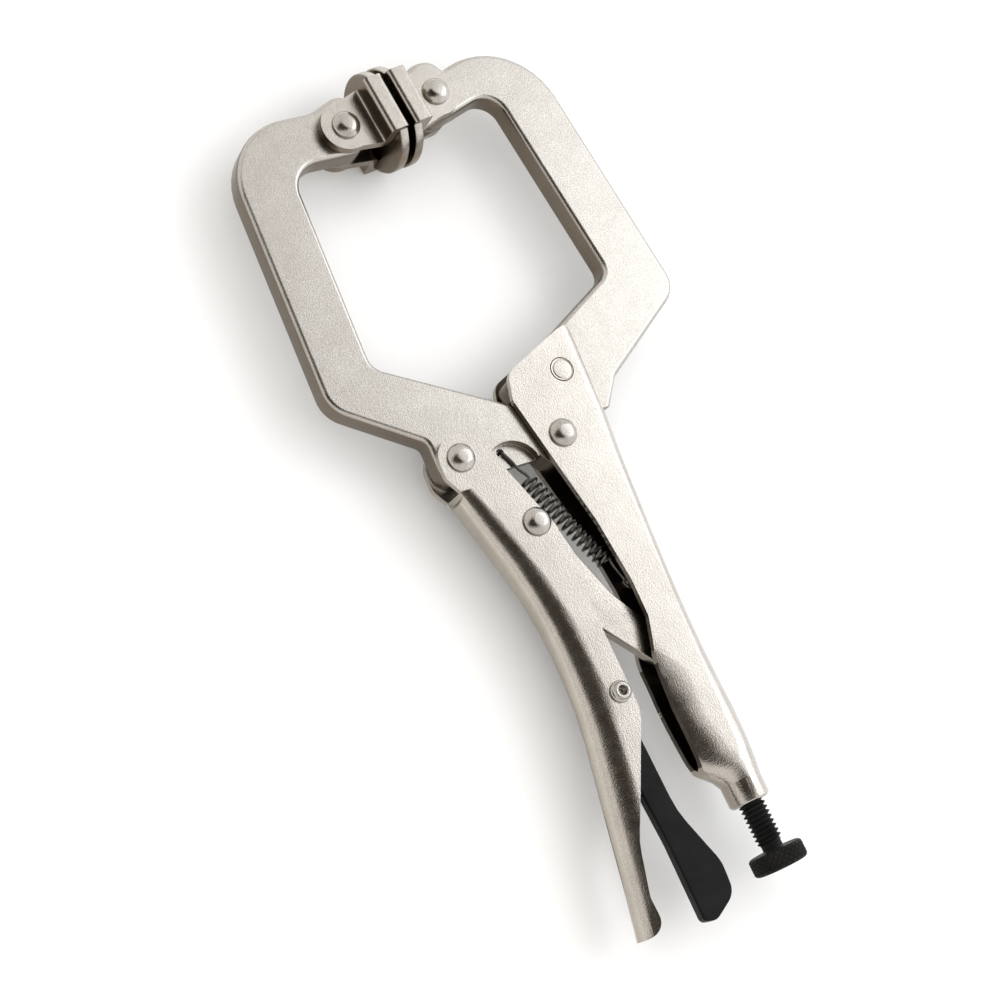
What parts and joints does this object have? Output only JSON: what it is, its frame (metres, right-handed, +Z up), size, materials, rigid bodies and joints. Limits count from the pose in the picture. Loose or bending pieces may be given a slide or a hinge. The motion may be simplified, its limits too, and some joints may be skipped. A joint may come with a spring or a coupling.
{
  "type": "locking c-clamp pliers",
  "caption": "Locking C-clamp pliers with swivel pads: two forged C arms, pressed channel handles, a toggle link, return spring, release lever and adjusting screw.",
  "frame": {"origin": "centre of the underside of the whole tool's box, the tool lying flat on its back", "axes": "+Y along the tool from the adjusting knob to the jaws, +X to the fixed handle's side, +Z up out of the flat of the tool"},
  "size_m": [0.1282, 0.2822, 0.0308],
  "materials": {
    "plated_steel": "satin nickel plating over blasted steel",
    "rivet_steel": "polished nickel plating",
    "spring_steel": "drawn wire",
    "black_lever": "satin black coating",
    "black_screw": "matt black oxide"
  },
  "bodies": {
    "fixed_side": {"fixed_handle": "plated_steel", "fixed_jaw": "plated_steel", "jaw_weld_front": "plated_steel", "jaw_weld_back": "plated_steel", "main_pivot_rivet": "rivet_steel", "fixed_pad_rivet": "rivet_steel", "spring_anchor": "rivet_steel", "tension_spring": "spring_steel"},
    "jaw": {"moving_jaw": "plated_steel", "lever_pivot_rivet": "rivet_steel", "moving_pad_rivet": "rivet_steel"},
    "lever": {"lever_handle": "plated_steel", "toggle_rivet": "rivet_steel", "release_lever_pin": "rivet_steel", "link_washer_front": "rivet_steel", "link_washer_back": "rivet_steel", "release_washer_front": "rivet_steel", "release_washer_back": "rivet_steel"},
    "link": {"toggle_link": "plated_steel"},
    "release": {"release_lever": "black_lever"},
    "screw": {"adjusting_screw": "black_screw", "adjusting_knob": "black_screw"},
    "jaw_pad": {"moving_pad": "plated_steel"},
    "frame_pad": {"fixed_pad": "plated_steel"}
  },
  "joints": [
    {"name": "jaw_pivot", "type": "hinge", "parent": "fixed_side", "child": "jaw", "pos_m": [0.00411, 0.01023, 0.0154], "axis": [0, 0, 1], "range_deg": [0, 16], "deforming": ["tension_spring"]},
    {"name": "lever_pivot", "type": "hinge", "parent": "jaw", "child": "lever", "pos_m": [-0.03109, 0.01203, 0.0154], "axis": [0, 0, 1], "range_deg": [-58, 0]},
    {"name": "link_pivot", "type": "hinge", "parent": "lever", "child": "link", "pos_m": [-0.01589, -0.01337, 0.0154], "axis": [0, 0, 1], "range_deg": [0, 64]},
    {"name": "release_pivot", "type": "hinge", "parent": "lever", "child": "release", "pos_m": [-0.01209, -0.06947, 0.0154], "axis": [0, 0, 1], "range_deg": [-8, 0]},
    {"name": "screw_turn", "type": "hinge", "parent": "fixed_side", "child": "screw", "pos_m": [0.01791, -0.11377, 0.0154], "axis": [0.0663, -0.9978, 0], "continuous": true},
    {"name": "moving_pad_swivel", "type": "hinge", "parent": "jaw", "child": "jaw_pad", "pos_m": [-0.02459, 0.12223, 0.0154], "axis": [0, 0, 1], "range_deg": [-30, 30]},
    {"name": "fixed_pad_swivel", "type": "hinge", "parent": "fixed_side", "child": "frame_pad", "pos_m": [0.00911, 0.12683, 0.0154], "axis": [0, 0, 1], "range_deg": [-30, 30]}
  ],
  "couplings": [
    {"joint": "lever_pivot", "follows": "jaw_pivot", "ratio": -3.6},
    {"joint": "link_pivot", "follows": "jaw_pivot", "ratio": 3.95},
    {"joint": "moving_pad_swivel", "follows": "jaw_pivot", "ratio": -0.5},
    {"joint": "fixed_pad_swivel", "follows": "jaw_pivot", "ratio": 0.5}
  ]
}
